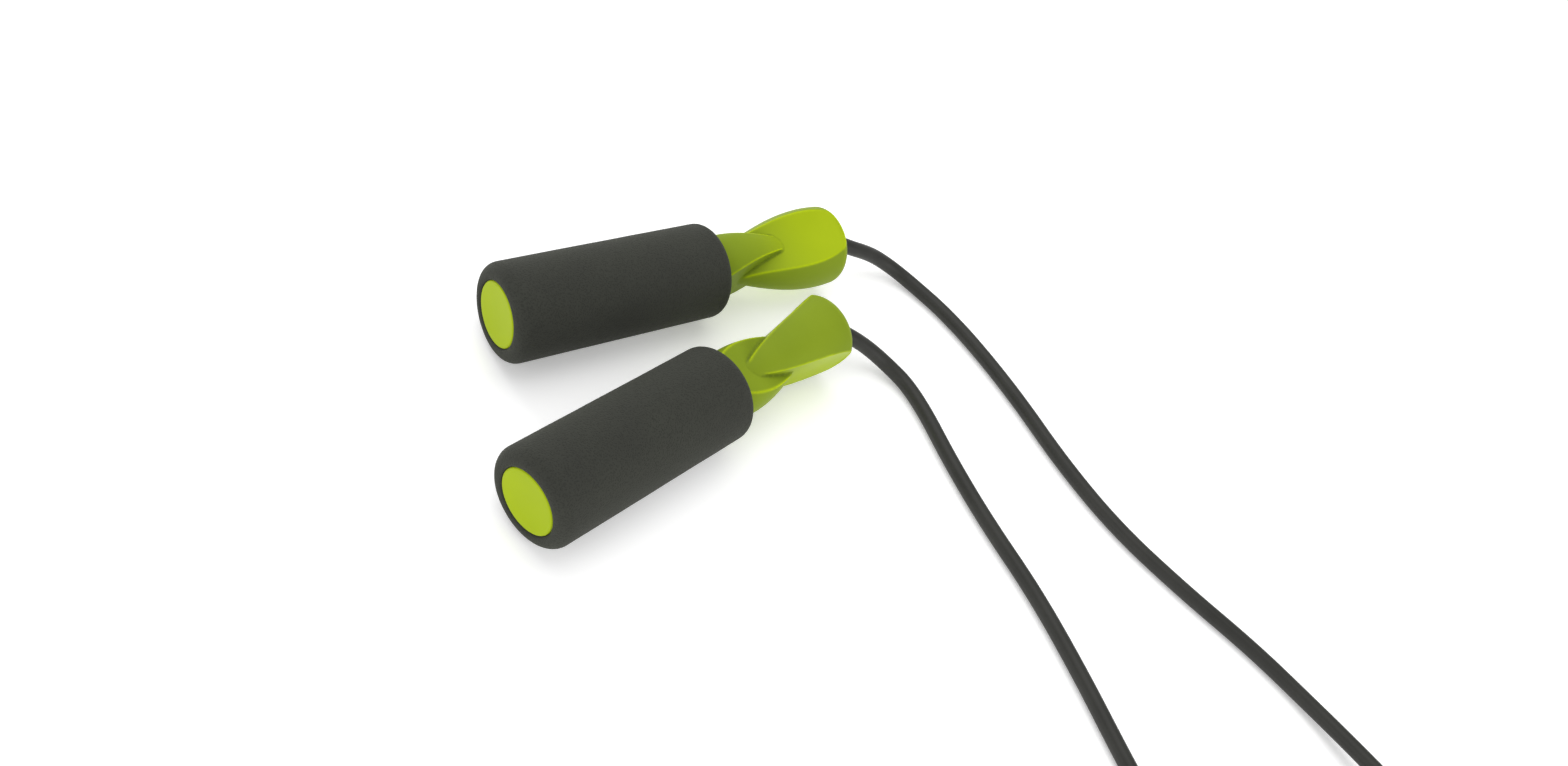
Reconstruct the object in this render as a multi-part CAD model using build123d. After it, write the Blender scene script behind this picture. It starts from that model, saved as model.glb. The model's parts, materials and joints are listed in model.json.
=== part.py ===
from build123d import *
import os
from math import cos, pi, radians, sin, tan

# Jump rope: two foam-covered handles with twisted plastic heads, each turning
# on a ball bearing at the end of one free rope.
#
# Row frame, millimetres: the handles lie side by side on the ground plane Z = 0.
# +X is the mean direction of the heads, +Z is up, and the origin is under the
# middle of the box round both handles.
# Each handle is drawn in its own frame first: its axis is local X, with 0 at
# the butt end, and it is then rolled, turned and moved into place.

# ---------------------------------------------------------------- dimensions

GRIP_LENGTH = 93.0        # foam sleeve
GRIP_RADIUS = 19.0
GRIP_BUTT_ROUND = 4.2     # rounded shoulder at the butt end
GRIP_HEAD_ROUND = 4.7     # rounded shoulder at the head end

CORE_RADIUS = 12.7        # plastic tube under the foam
CORE_WALL = 2.2
CAP_RECESS = 0.25         # butt cap sits this far inside the foam's end
CAP_THICKNESS = 2.5
CAP_SPIGOT = 8.0
CAP_SPIGOT_WALL = 2.0
CAP_CHAMFER = 0.4
FIT = 0.05                # play between plastic pieces that plug together

HEAD_LENGTH = 61.5        # twisted head beyond the foam
HEAD_COLLAR = 2.2         # round collar that closes the foam's end
COLLAR_PROUD = 0.6        # and stands out of it
HEAD_SPIGOT = 16.0        # plug inside the core tube
HEAD_RIM_ROUND = 5.0
NECK_TURN = -7.0          # neck flats are this far off square to the head flats
THREADING_RADIUS = 3.8    # cored hole from the pocket back to the tube

# (station beyond the foam, radius) and (station, half thickness) outlines
NECK_ROUND = [(0.0, 12.6), (9.0, 13.6), (21.0, 12.4), (31.0, 9.8), (40.0, 6.5)]
NECK_FLATS = [(0.0, 10.2), (10.0, 8.1), (21.0, 5.4), (31.0, 3.2), (40.0, 1.0)]
HEAD_ROUND = [(7.0, 6.9), (19.0, 10.6), (35.0, 15.0), (47.0, 16.6), (56.5, 16.4)]
HEAD_FLATS = [(7.0, 0.3), (14.0, 3.8), (29.5, 8.6), (50.0, 12.4), (61.5, 15.2)]

# Ball bearing, 8 x 16 x 5 mm, in the tip of each head
BEARING_BORE = 4.0        # radii
BEARING_OUTSIDE = 8.0
BEARING_WIDTH = 5.0
INNER_LAND = 5.2
OUTER_LAND = 6.8
BALL_RADIUS = 1.19
BALL_CIRCLE = 6.0
BALL_COUNT = 9
GROOVE_RADIUS = 1.28
BALL_PLAY = 0.06
RETAINER_INNER = 5.6
RETAINER_OUTER = 6.4
RETAINER_WIDTH = 3.4
POCKET_PLAY = 0.12
SHIELD_THICKNESS = 0.25
SHIELD_EDGE = 5.35

TIP_LIP = 3.0             # head material in front of the retaining ring
TIP_CHAMFER = 1.0
CLIP_THICKNESS = 1.0
CLIP_INNER = 7.0
CLIP_OUTER = 8.45
CLIP_GAP = 50.0           # degrees
EAR_RADIUS = 1.2          # eyed ears at the ring's two ends
EAR_CIRCLE = 7.2

SLEEVE_FLANGE = 5.0       # swivel sleeve in the inner race
FLANGE_THICKNESS = 0.9
FLANGE_CHAMFER = 0.35
WASHER_RADIUS = 5.1
WASHER_THICKNESS = 0.8
STOP_RADIUS = 6.0         # collar clamped on the rope behind the bearing
STOP_LENGTH = 8.0
POCKET_RADIUS = 6.6
POCKET_SPARE = 1.5
SCREW_RADIUS = 1.5
SCREW_SOCKET = 0.75       # hexagon, corner radius
SCREW_SOCKET_DEPTH = 1.2
SCREW_COUNT = 2
SCREW_BITE = 0.1          # gap left over the rope
SCREW_SUNK = 0.3          # below the stop's outside

ROPE_RADIUS = 3.25

# Where each handle lies: butt centre, heading of the axis and roll about it
HANDLES = {
    "left": {"x": -59.8, "y": 36.5, "heading": -6.56, "roll": 104.0},
    "right": {"x": -93.4, "y": -36.5, "heading": 6.56, "roll": 15.0},
}

# Coil of the spare rope: two flat layers, wound in and then out again
COIL_X = 85.0
COIL_Y = -325.0
COIL_TURN_OUTER = 53.0    # centre line of the outermost turn
COIL_TURN_INNER = 25.0    # centre line of the innermost turn
COIL_HEIGHT = 13.1

TIP = GRIP_LENGTH + HEAD_LENGTH
BEARING_FRONT = TIP - TIP_LIP - CLIP_THICKNESS
BEARING_BACK = BEARING_FRONT - BEARING_WIDTH
BEARING_MIDDLE = BEARING_FRONT - BEARING_WIDTH / 2
STOP_FRONT = BEARING_BACK - WASHER_THICKNESS
STOP_BACK = STOP_FRONT - STOP_LENGTH
MOUTH = BEARING_FRONT + FLANGE_THICKNESS

# ------------------------------------------------------------------- helpers


def turned(*corners):
    """Solid of revolution about the handle's axis, from (station, radius) corners."""
    return revolve(make_face(Polyline(*corners, close=True)), Axis.X, 360)


def ring(start, end, inner, outer):
    """Plain ring on the handle's axis."""
    return turned((start, inner), (end, inner), (end, outer), (start, outer))


def rod(start, end, radius):
    """Plain round bar on the handle's axis."""
    return turned((start, 0), (end, 0), (end, radius), (start, radius))


def round_body(outline):
    """Bulged body of revolution through an outline of (station, radius)."""
    first, last = outline[0], outline[-1]
    edge = Spline(*outline)
    closing = Polyline(last, (last[0], 0), (first[0], 0), first)
    return revolve(make_face(edge + closing), Axis.X, 360)


def slab(outline):
    """Slab between two scooped flats: |local Y| under the outline's half thickness."""
    upper = Spline(*outline)
    lower = Spline(*[(station, -half) for station, half in outline])
    first, last = outline[0], outline[-1]
    start = Line((first[0], -first[1]), first)
    end = Line((last[0], -last[1]), last)
    return extrude(make_face(upper + lower + start + end), 30, both=True)


# --------------------------------------------------- pieces, in handle frame


def outer_edge(sleeve, station):
    """The sleeve's outer edge at one of its ends."""
    circles = sleeve.edges().filter_by(GeomType.CIRCLE)
    return [edge for edge in circles if edge.radius > CORE_RADIUS + 1 and abs(edge.center().X - station) < 1]


def foam_grip():
    """Foam sleeve with softly rounded shoulders."""
    sleeve = ring(0, GRIP_LENGTH, CORE_RADIUS, GRIP_RADIUS)
    sleeve = fillet(outer_edge(sleeve, 0), GRIP_BUTT_ROUND)
    return fillet(outer_edge(sleeve, GRIP_LENGTH), GRIP_HEAD_ROUND)


def core_tube():
    """Tube under the foam, between the butt cap and the head's collar."""
    start = CAP_RECESS + CAP_THICKNESS
    end = GRIP_LENGTH - HEAD_COLLAR
    return ring(start, end, CORE_RADIUS - CORE_WALL, CORE_RADIUS)


def butt_cap():
    """Disc that closes the butt end, with a hollow spigot in the tube."""
    face = CAP_RECESS
    back = CAP_RECESS + CAP_THICKNESS
    edge = CORE_RADIUS - FIT
    spigot = CORE_RADIUS - CORE_WALL
    bore = spigot - CAP_SPIGOT_WALL
    return turned(
        (face, 0), (face, edge - CAP_CHAMFER), (face + CAP_CHAMFER, edge), (back, edge), (back, spigot),
        (back + CAP_SPIGOT, spigot - CAP_CHAMFER), (back + CAP_SPIGOT, bore), (back, bore), (back, 0),
    )


def twist_head():
    """Moulded head: a flattened neck runs into a head flattened the other way."""
    neck = round_body(NECK_ROUND) & (Rot(90, 0, 0) * slab(NECK_FLATS))
    neck = Rot(NECK_TURN, 0, 0) * neck
    rim_x, rim_r = HEAD_ROUND[-1]
    bulge = Spline(*HEAD_ROUND)
    rim = ThreePointArc(
        (rim_x, rim_r),
        (rim_x + HEAD_RIM_ROUND * sin(radians(45)), rim_r - HEAD_RIM_ROUND * (1 - cos(radians(45)))),
        (rim_x + HEAD_RIM_ROUND, rim_r - HEAD_RIM_ROUND),
    )
    start = HEAD_ROUND[0]
    closing = Polyline((rim_x + HEAD_RIM_ROUND, rim_r - HEAD_RIM_ROUND), (HEAD_LENGTH, 0), (start[0], 0), start)
    bulb = revolve(make_face(bulge + rim + closing), Axis.X, 360)
    bulb = bulb & slab(HEAD_FLATS)
    shape = neck + bulb
    shape = Pos(GRIP_LENGTH, 0, 0) * shape
    shape += rod(GRIP_LENGTH - HEAD_COLLAR, GRIP_LENGTH + COLLAR_PROUD, CORE_RADIUS - FIT)
    shape += rod(GRIP_LENGTH - HEAD_COLLAR - HEAD_SPIGOT, GRIP_LENGTH, CORE_RADIUS - CORE_WALL)
    shape -= rod(BEARING_BACK, TIP + 1, BEARING_OUTSIDE)
    flare = BEARING_OUTSIDE + TIP_CHAMFER
    shape -= turned((TIP - TIP_CHAMFER, 0), (TIP - TIP_CHAMFER, BEARING_OUTSIDE), (TIP, flare), (TIP, 0))
    shape -= ring(BEARING_FRONT, BEARING_FRONT + CLIP_THICKNESS, 0, CLIP_OUTER + FIT)
    shape -= rod(STOP_BACK - POCKET_SPARE, BEARING_BACK + 1, POCKET_RADIUS)
    shape -= rod(0, STOP_BACK, THREADING_RADIUS)
    return shape


def outer_race():
    """Bearing's outer ring, with the groove that the balls run in."""
    body = ring(BEARING_BACK, BEARING_FRONT, OUTER_LAND, BEARING_OUTSIDE)
    return body - groove(BALL_CIRCLE + BALL_RADIUS + BALL_PLAY - GROOVE_RADIUS)


def inner_race():
    """Bearing's inner ring."""
    body = ring(BEARING_BACK, BEARING_FRONT, BEARING_BORE, INNER_LAND)
    return body - groove(BALL_CIRCLE - BALL_RADIUS - BALL_PLAY + GROOVE_RADIUS)


def groove(circle):
    """Ring of round section that is cut from a race, centred on the balls."""
    section = Pos(BEARING_MIDDLE, circle) * Circle(GROOVE_RADIUS)
    return revolve(section, Axis.X, 360)


def ball_places():
    """Centres of the balls, evenly round the bearing."""
    for number in range(BALL_COUNT):
        angle = 2 * pi * number / BALL_COUNT
        yield Pos(BEARING_MIDDLE, BALL_CIRCLE * cos(angle), BALL_CIRCLE * sin(angle))


def bearing_balls():
    """The balls, as separate solids in one group."""
    return Compound([place * Sphere(BALL_RADIUS) for place in ball_places()])


def ball_retainer():
    """Thin ring with a pocket for each ball."""
    half = RETAINER_WIDTH / 2
    body = ring(BEARING_MIDDLE - half, BEARING_MIDDLE + half, RETAINER_INNER, RETAINER_OUTER)
    for place in ball_places():
        body -= place * Sphere(BALL_RADIUS + POCKET_PLAY)
    return body


def front_shield():
    """Thin dust shield on the outer ring, on the rope's side."""
    return ring(BEARING_FRONT - SHIELD_THICKNESS, BEARING_FRONT, SHIELD_EDGE, OUTER_LAND)


def rear_shield():
    """Thin dust shield on the outer ring, on the grip's side."""
    return ring(BEARING_BACK, BEARING_BACK + SHIELD_THICKNESS, SHIELD_EDGE, OUTER_LAND)


def retaining_ring():
    """Open spring ring with two eyed ears, which holds the bearing in the head."""
    start = BEARING_FRONT
    end = BEARING_FRONT + CLIP_THICKNESS
    clip = ring(start, end, CLIP_INNER, CLIP_OUTER)
    half_gap = radians(CLIP_GAP / 2)
    far = 2 * CLIP_OUTER
    corners = [(0, 0), (far * cos(half_gap), far * sin(half_gap)), (far * cos(half_gap), -far * sin(half_gap))]
    wedge = extrude(make_face(Polyline(*corners, close=True)), CLIP_THICKNESS)
    clip -= Pos(start, 0, 0) * Rot(0, 90, 0) * wedge
    ear_angle = half_gap + EAR_RADIUS / EAR_CIRCLE
    for side in (-1, 1):
        place = Pos(start, 0, 0) * Rot(0, 90, 0)
        centre = Pos(EAR_CIRCLE * cos(ear_angle), side * EAR_CIRCLE * sin(ear_angle), CLIP_THICKNESS / 2)
        clip += place * centre * Cylinder(EAR_RADIUS, CLIP_THICKNESS)
        clip -= place * centre * Cylinder(EAR_RADIUS / 2, CLIP_THICKNESS)
    return clip


def rope_sleeve():
    """Swivel sleeve: the rope sits in it, and its flange holds the inner race."""
    return turned(
        (STOP_FRONT, ROPE_RADIUS), (MOUTH, ROPE_RADIUS), (MOUTH, SLEEVE_FLANGE - FLANGE_CHAMFER),
        (MOUTH - FLANGE_CHAMFER, SLEEVE_FLANGE), (BEARING_FRONT, SLEEVE_FLANGE), (BEARING_FRONT, BEARING_BORE),
        (STOP_FRONT, BEARING_BORE),
    )


def thrust_washer():
    """Washer between the inner race and the rope stop."""
    return ring(STOP_FRONT, BEARING_BACK, BEARING_BORE, WASHER_RADIUS)


def screw_places():
    """Frames of the grub screws, square to the rope, spread round the stop."""
    for number in range(SCREW_COUNT):
        yield Pos((STOP_FRONT + STOP_BACK) / 2, 0, 0) * Rot(number * 360 / SCREW_COUNT, 0, 0)


def rope_stop():
    """Collar clamped on the rope's end; it keeps the rope from pulling out."""
    body = ring(STOP_BACK, STOP_FRONT, ROPE_RADIUS, STOP_RADIUS)
    for place in screw_places():
        body -= place * Pos(0, 0, STOP_RADIUS) * Cylinder(SCREW_RADIUS, 2 * (STOP_RADIUS - ROPE_RADIUS) + 1)
    return body


def grub_screws():
    """Set screws with hexagon sockets that bite on the rope, as one group."""
    foot = ROPE_RADIUS + SCREW_BITE
    top = STOP_RADIUS - SCREW_SUNK
    hexagon = extrude(RegularPolygon(SCREW_SOCKET, 6), SCREW_SOCKET_DEPTH)
    screws = []
    for place in screw_places():
        bar = Pos(0, 0, (foot + top) / 2) * Cylinder(SCREW_RADIUS, top - foot)
        socket = Pos(0, 0, top - SCREW_SOCKET_DEPTH) * hexagon
        screws.append((place * (bar - socket)).solid())
    return Compound(screws)


def rope_end():
    """The stretch of rope inside the handle, from the stop to the sleeve's mouth."""
    return rod(STOP_BACK, MOUTH, ROPE_RADIUS)


# -------------------------------------------------------------------- rope

# Hand-laid centre lines from each sleeve's mouth to the coil. Each rope sags
# to the ground in front of its head, bends to the near side and runs to the coil.
GROUND = ROPE_RADIUS + FIT
UPPER = GROUND + 2 * ROPE_RADIUS
RIGHT_ROUTE = [
    (60.19, -18.84, 19.0), (63.7, -19.5, 18.4), (67.5, -21.5, 17.3), (72.5, -24.8, 15.0), (78.6, -28.4, 11.2),
    (84.0, -33.0, 7.4), (88.0, -39.8, 4.6), (90.2, -49.0, GROUND), (87.4, -64.5, GROUND), (80.8, -86.0, GROUND),
    (74.0, -115.0, GROUND), (69.0, -149.0, GROUND), (60.0, -183.0, GROUND), (49.0, -217.0, GROUND),
    (40.0, -250.0, GROUND), (33.5, -283.0, GROUND), (32.0, -313.0, GROUND),
]
LEFT_ROUTE = [
    (95.58, 18.63, 19.0), (100.7, 16.8, 18.1), (106.4, 14.2, 16.0), (113.1, 12.0, 13.6), (120.1, 9.8, 10.2),
    (126.7, 5.6, 6.6), (131.7, -1.2, 4.1), (134.5, -10.6, GROUND), (136.8, -24.0, GROUND), (137.5, -45.0, GROUND),
    (135.0, -76.0, GROUND), (129.0, -110.0, GROUND), (127.0, -145.0, GROUND), (132.0, -180.0, GROUND),
    (139.5, -214.0, GROUND), (142.0, -243.0, GROUND + 0.6), (140.5, -262.0, GROUND + 3.6),
    (138.8, -280.0, UPPER - 0.3), (138.2, -296.0, UPPER), (138.0, -313.0, UPPER),
]


def in_place(side):
    """Location that carries a piece from the handle's frame to where it lies."""
    lie = HANDLES[side]
    return Pos(lie["x"], lie["y"], GRIP_RADIUS) * Rot(0, 0, lie["heading"]) * Rot(lie["roll"], 0, 0)


def rope_run(side, bends):
    """Tube of straight runs joined by tangent arcs, from the mouth to the coil."""
    mouth = in_place(side) * Pos(MOUTH, 0, 0)
    points = [mouth.position] + [Vector(*bend) for bend in bends]
    radii = []
    for before, corner, after in zip(points, points[1:], points[2:]):
        turn = radians((corner - before).get_angle(after - corner))
        shorter = min((corner - before).length, (after - corner).length)
        radii.append(0.45 * shorter / tan(turn / 2))
    path = FilletPolyline(*points, radius=radii)
    section = Plane(origin=path @ 0, z_dir=path % 0) * Circle(ROPE_RADIUS)
    tube = sweep(section, path=path)
    expected = path.length * pi * ROPE_RADIUS ** 2
    print(f"{side} rope: {path.length:.1f} mm, volume {tube.volume / expected:.4f} of section x length")
    print("  bend radii", " ".join(f"{radius:.0f}" for radius in radii))
    return tube


def rope_coil():
    """Closed outer shape of the coil, a flat ring with rounded edges."""
    inner = COIL_TURN_INNER - ROPE_RADIUS
    outer = COIL_TURN_OUTER + ROPE_RADIUS
    section = Pos((inner + outer) / 2, COIL_HEIGHT / 2) * RectangleRounded(outer - inner, COIL_HEIGHT, ROPE_RADIUS)
    body = revolve(Plane.XZ * section, Axis.Z, 360)
    return Pos(COIL_X, COIL_Y, 0) * body


# ------------------------------------------------------------------- export

HANDLE_PIECES = {
    "foam_grip": foam_grip,
    "core_tube": core_tube,
    "butt_cap": butt_cap,
    "twist_head": twist_head,
    "outer_race": outer_race,
    "inner_race": inner_race,
    "bearing_balls": bearing_balls,
    "ball_retainer": ball_retainer,
    "front_shield": front_shield,
    "rear_shield": rear_shield,
    "retaining_ring": retaining_ring,
    "rope_sleeve": rope_sleeve,
    "thrust_washer": thrust_washer,
    "rope_stop": rope_stop,
    "grub_screws": grub_screws,
    "rope_end": rope_end,
}


def save(name, shape):
    """Write one node's STEP file."""
    export_step(shape, f"parts/{name}.step")


os.makedirs("parts", exist_ok=True)
for piece, make in HANDLE_PIECES.items():
    shape = make()
    for side in HANDLES:
        save(f"{side}_{piece}", in_place(side) * shape)
save("left_rope", rope_run("left", LEFT_ROUTE))
save("right_rope", rope_run("right", RIGHT_ROUTE))
save("rope_coil", rope_coil())
for side in HANDLES:
    axis = (in_place(side) * Pos(MOUTH, 0, 0)).position
    heading = radians(HANDLES[side]["heading"])
    print(f"{side} mouth {axis.X:.3f} {axis.Y:.3f} {axis.Z:.3f}, axis {cos(heading):.6f} {sin(heading):.6f} 0")
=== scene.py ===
# %% [markdown]
# # A jump rope with foam grips and twisted heads
#
# This lesson dresses a finished mechanical model of a jump rope. The model
# already holds every piece in its right place, so nothing is moved here. Each
# cell takes one piece or one finish, says what it is on the real rope, and
# builds it in metres in the same frame as the model: +Z is up, the ground is
# Z = 0, and +X is the mean direction of the two heads.

# %% Load the model
import json
import math

import bmesh
import bpy
from mathutils import Matrix, Quaternion, Vector


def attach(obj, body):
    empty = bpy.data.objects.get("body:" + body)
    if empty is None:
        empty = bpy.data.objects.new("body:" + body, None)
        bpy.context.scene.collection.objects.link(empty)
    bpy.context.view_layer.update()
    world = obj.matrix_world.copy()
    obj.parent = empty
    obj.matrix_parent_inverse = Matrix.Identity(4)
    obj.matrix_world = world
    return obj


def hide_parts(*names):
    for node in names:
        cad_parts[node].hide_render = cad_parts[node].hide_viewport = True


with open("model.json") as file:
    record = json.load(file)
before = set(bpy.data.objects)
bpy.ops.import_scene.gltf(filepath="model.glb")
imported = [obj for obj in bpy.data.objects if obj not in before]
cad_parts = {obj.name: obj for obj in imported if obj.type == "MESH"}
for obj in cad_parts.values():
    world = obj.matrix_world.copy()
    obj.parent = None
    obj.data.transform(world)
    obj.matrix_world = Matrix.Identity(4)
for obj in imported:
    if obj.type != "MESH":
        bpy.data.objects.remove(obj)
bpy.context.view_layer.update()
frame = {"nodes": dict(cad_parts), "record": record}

nodes = frame["nodes"]
record = frame["record"]
MM = 0.001
SIDES = ("left", "right")

# %% [markdown]
# ## Where each handle lies
#
# Both handles turn about their own axis on a bearing, so the model's joints
# already say where that axis is and which way it points. Reading it from
# there, instead of typing it again, keeps every piece made here concentric
# with the metal inside it. A local frame with X along the handle makes round
# pieces easy: they are drawn once, then laid along the axis.

# %% Axis frames from the joints
GRIP_RADIUS = 19.0 * MM
GRIP_LENGTH = 93.0 * MM
CORE_RADIUS = 12.7 * MM
HEAD_LENGTH = 61.5 * MM
TIP = GRIP_LENGTH + HEAD_LENGTH
BEARING_MIDDLE = TIP - 6.5 * MM
MOUTH = TIP - 3.1 * MM


def handle_frame(side):
    """Matrix that lays a piece drawn along local X on this side's handle."""
    spin = next(joint for joint in record["behaviour"]["joints"] if joint["name"] == f"{side}_spin")
    axis = Vector(spin["axis"]).normalized()
    across = Vector((0, 0, 1)).cross(axis)
    butt = Vector(spin["pos_m"]) - axis * BEARING_MIDDLE
    turn = Matrix((axis, across, Vector((0, 0, 1)))).transposed()
    return Matrix.Translation(butt) @ turn.to_4x4()


LAY = {side: handle_frame(side) for side in SIDES}
for side in SIDES:
    print(side, "butt at", [round(x, 4) for x in LAY[side].translation])

# %% [markdown]
# ## The camera
#
# The rope is looked at from behind the grips and from above, with the camera
# rolled so that the handles run across the frame. The lens is a moderate wide
# one, close in, which makes the near grip end look larger than the far head.
# Setting the turn as a look direction and then a roll about it is easier to
# check than three Euler angles.

# %% Camera
EYE = Vector((-0.2938, -0.2088, 0.3884))
HEADING = math.radians(28.79)
DIP = math.radians(45.41)
ROLL = math.radians(29.18)
LENS_MM = 31.316
SENSOR_MM = 36.0

look = Vector((math.cos(DIP) * math.cos(HEADING), math.cos(DIP) * math.sin(HEADING), -math.sin(DIP)))
camera = bpy.data.objects.new("camera", bpy.data.cameras.new("camera"))
camera.data.lens = LENS_MM
camera.data.sensor_width = SENSOR_MM
camera.data.clip_start = 0.01
camera.location = EYE
camera.rotation_mode = "QUATERNION"
camera.rotation_quaternion = look.to_track_quat("-Z", "Y") @ Quaternion((0, 0, 1), ROLL)
bpy.context.scene.collection.objects.link(camera)
bpy.context.scene.camera = camera
print("camera", round(EYE.length, 3), "m from the origin")

# %% [markdown]
# ## Helpers for pieces and node trees
#
# A piece is a mesh whose place is in its own vertices, so its object stays at
# the origin. The small `Wire` class keeps node trees readable: it makes a
# node, sets its plain values, and joins its inputs in one line.

# %% Helpers
ON_AXIS = 1e-6


def new_object(name, data):
    """Put an object for this mesh or curve into the scene, at the origin."""
    piece = bpy.data.objects.new(name, data)
    bpy.context.scene.collection.objects.link(piece)
    return piece


def shade_smooth(mesh):
    """Smooth shading on every face."""
    mesh.polygons.foreach_set("use_smooth", [True] * len(mesh.polygons))


def bake_modifiers(piece):
    """Turn what the modifiers make into the piece's own plain mesh."""
    view = bpy.context.evaluated_depsgraph_get()
    view.update()
    mesh = bpy.data.meshes.new_from_object(piece.evaluated_get(view))
    piece.modifiers.clear()
    old = piece.data
    piece.data = mesh
    mesh.name = piece.name
    bpy.data.meshes.remove(old)
    return piece


def lathe(name, outline, lay, steps):
    """Closed solid turned about the handle's axis.

    The outline is a list of (station, radius) points that starts and ends on
    the axis.
    """
    build = bmesh.new()
    angles = [2 * math.pi * step / steps for step in range(steps)]
    rings = []
    for station, radius in outline:
        if radius < ON_AXIS:
            rings.append([build.verts.new((station, 0, 0))])
            continue
        ring = [(station, radius * math.cos(angle), radius * math.sin(angle)) for angle in angles]
        rings.append([build.verts.new(place) for place in ring])
    for one, two in zip(rings, rings[1:]):
        for step in range(steps):
            after = (step + 1) % steps
            # A ring on the axis has one point, so the same point comes up twice there.
            corners = [
                one[step % len(one)], one[after % len(one)],
                two[after % len(two)], two[step % len(two)],
            ]
            unique = list(dict.fromkeys(corners))
            if len(unique) > 2:
                build.faces.new(unique)
    bmesh.ops.recalc_face_normals(build, faces=build.faces)
    mesh = bpy.data.meshes.new(name)
    build.to_mesh(mesh)
    build.free()
    mesh.transform(lay)
    shade_smooth(mesh)
    return new_object(name, mesh)


class Wire:
    """Short way to add nodes to a tree: wire.add("ShaderNodeBump", Height=x)."""

    def __init__(self, tree):
        self.tree = tree

    def add(self, kind, settings=None, **inputs):
        """Node of this kind with its settings.

        iN=... fills input number N. Otherwise an underscore in an input's name
        stands for a space, and one at its end only keeps clear of a Python word.
        """
        node = self.tree.nodes.new(kind)
        for key, value in (settings or {}).items():
            setattr(node, key, value)
        for key, value in inputs.items():
            numbered = key[0] == "i" and key[1:].isdigit()
            socket = node.inputs[int(key[1:]) if numbered else key.replace("_", " ").strip()]
            if isinstance(value, bpy.types.NodeSocket):
                self.tree.links.new(value, socket)
            else:
                socket.default_value = value
        return node

    def math(self, operation, first, second=0.0):
        """Result of one Math node."""
        return self.add("ShaderNodeMath", {"operation": operation}, i0=first, i1=second).outputs[0]

    def scaled(self, vector, amount):
        """Vector times a number."""
        node = self.add("ShaderNodeVectorMath", {"operation": "SCALE"}, Vector=vector, Scale=amount)
        return node.outputs[0]

    def sum(self, first, second):
        """Sum of two vectors."""
        return self.add("ShaderNodeVectorMath", {"operation": "ADD"}, i0=first, i1=second).outputs[0]


def rise(value, low, high):
    """Smooth step from 0 at low to 1 at high."""
    part = min(max((value - low) / (high - low), 0.0), 1.0)
    return part * part * (3 - 2 * part)


print("helpers ready")

# %% [markdown]
# ## The rope's route
#
# The rope is one solid plastic cord, 6.5 mm thick and about 2.8 m long. It
# leaves the bearing in the tip of each head level, droops to the ground within
# a few centimetres, swings round, and runs off to one side. The length that is not
# needed lies there as a flat coil, wound in on the ground and out again on
# top of itself. One NURBS curve carries the whole cord, because a spline
# bends the way a cord does: its curvature changes little by little.
#
# The loose stretches are listed points. The coil is a loop: its
# radius shrinks for the lower layer and grows for the upper one. Both are in
# millimetres, and the whole route becomes metres in one step. GROUND is the
# height of the cord's middle when it lies on the table, and UPPER is its
# height when it lies on another turn.

# %% Rope route
ROPE_RADIUS = 3.25 * MM
GROUND = 3.3
UPPER = GROUND + 6.5
RIGHT_ROUTE = [
    (60.19, -18.84, 19.0), (63.7, -19.5, 18.4), (67.5, -21.5, 17.3), (72.5, -24.8, 15.0),
    (78.6, -28.4, 11.2), (84.0, -33.0, 7.4), (88.0, -39.8, 4.6), (90.2, -49.0, GROUND),
    (87.4, -64.5, GROUND), (80.8, -86.0, GROUND), (74.0, -115.0, GROUND), (69.0, -149.0, GROUND),
    (60.0, -183.0, GROUND), (49.0, -217.0, GROUND), (40.0, -250.0, GROUND), (33.5, -283.0, GROUND),
    (32.0, -313.0, GROUND),
]
LEFT_ROUTE = [
    (95.58, 18.63, 19.0), (100.7, 16.8, 18.1), (106.4, 14.2, 16.0), (113.1, 12.0, 13.6),
    (120.1, 9.8, 10.2), (126.7, 5.6, 6.6), (131.7, -1.2, 4.1), (134.5, -10.6, GROUND),
    (136.8, -24.0, GROUND), (137.5, -45.0, GROUND), (135.0, -76.0, GROUND),
    (129.0, -110.0, GROUND), (127.0, -145.0, GROUND), (132.0, -180.0, GROUND),
    (139.5, -214.0, GROUND), (142.0, -243.0, GROUND + 0.6), (140.5, -262.0, GROUND + 3.6),
    (138.8, -280.0, UPPER - 0.3), (138.2, -296.0, UPPER), (138.0, -313.0, UPPER),
]
COIL_CENTRE = Vector((85.0, -325.0))
COIL_OUTER = 53.0
COIL_INNER = 25.0
COIL_TURNS = 8.5
POINTS_PER_TURN = 16
CLIMB_TURNS = 0.5


def coil_points():
    """Centre line of the coil: in on the ground, up, and out on top."""
    count = int(COIL_TURNS * POINTS_PER_TURN)
    middle = COIL_TURNS / 2
    # The curve passes inside its points, so they stand on a slightly wider circle.
    widen = 1 / math.cos(math.pi / POINTS_PER_TURN)
    points = []
    for step in range(count + 1):
        turn = step / POINTS_PER_TURN
        from_middle = abs(turn - middle) / middle
        radius = (COIL_INNER + (COIL_OUTER - COIL_INNER) * from_middle) * widen
        climb = rise(turn, middle - CLIMB_TURNS / 2, middle + CLIMB_TURNS / 2)
        angle = math.pi + 2 * math.pi * turn
        x = COIL_CENTRE.x + radius * math.cos(angle)
        y = COIL_CENTRE.y + radius * math.sin(angle)
        points.append((x, y, GROUND + (UPPER - GROUND) * climb))
    return points


def mouth(side):
    """Point where the rope leaves this side's sleeve."""
    return LAY[side] @ Vector((MOUTH, 0, 0))


route = [mouth("right")]
route += [Vector(point) * MM for point in RIGHT_ROUTE + coil_points() + LEFT_ROUTE[::-1]]
route += [mouth("left")]

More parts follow.
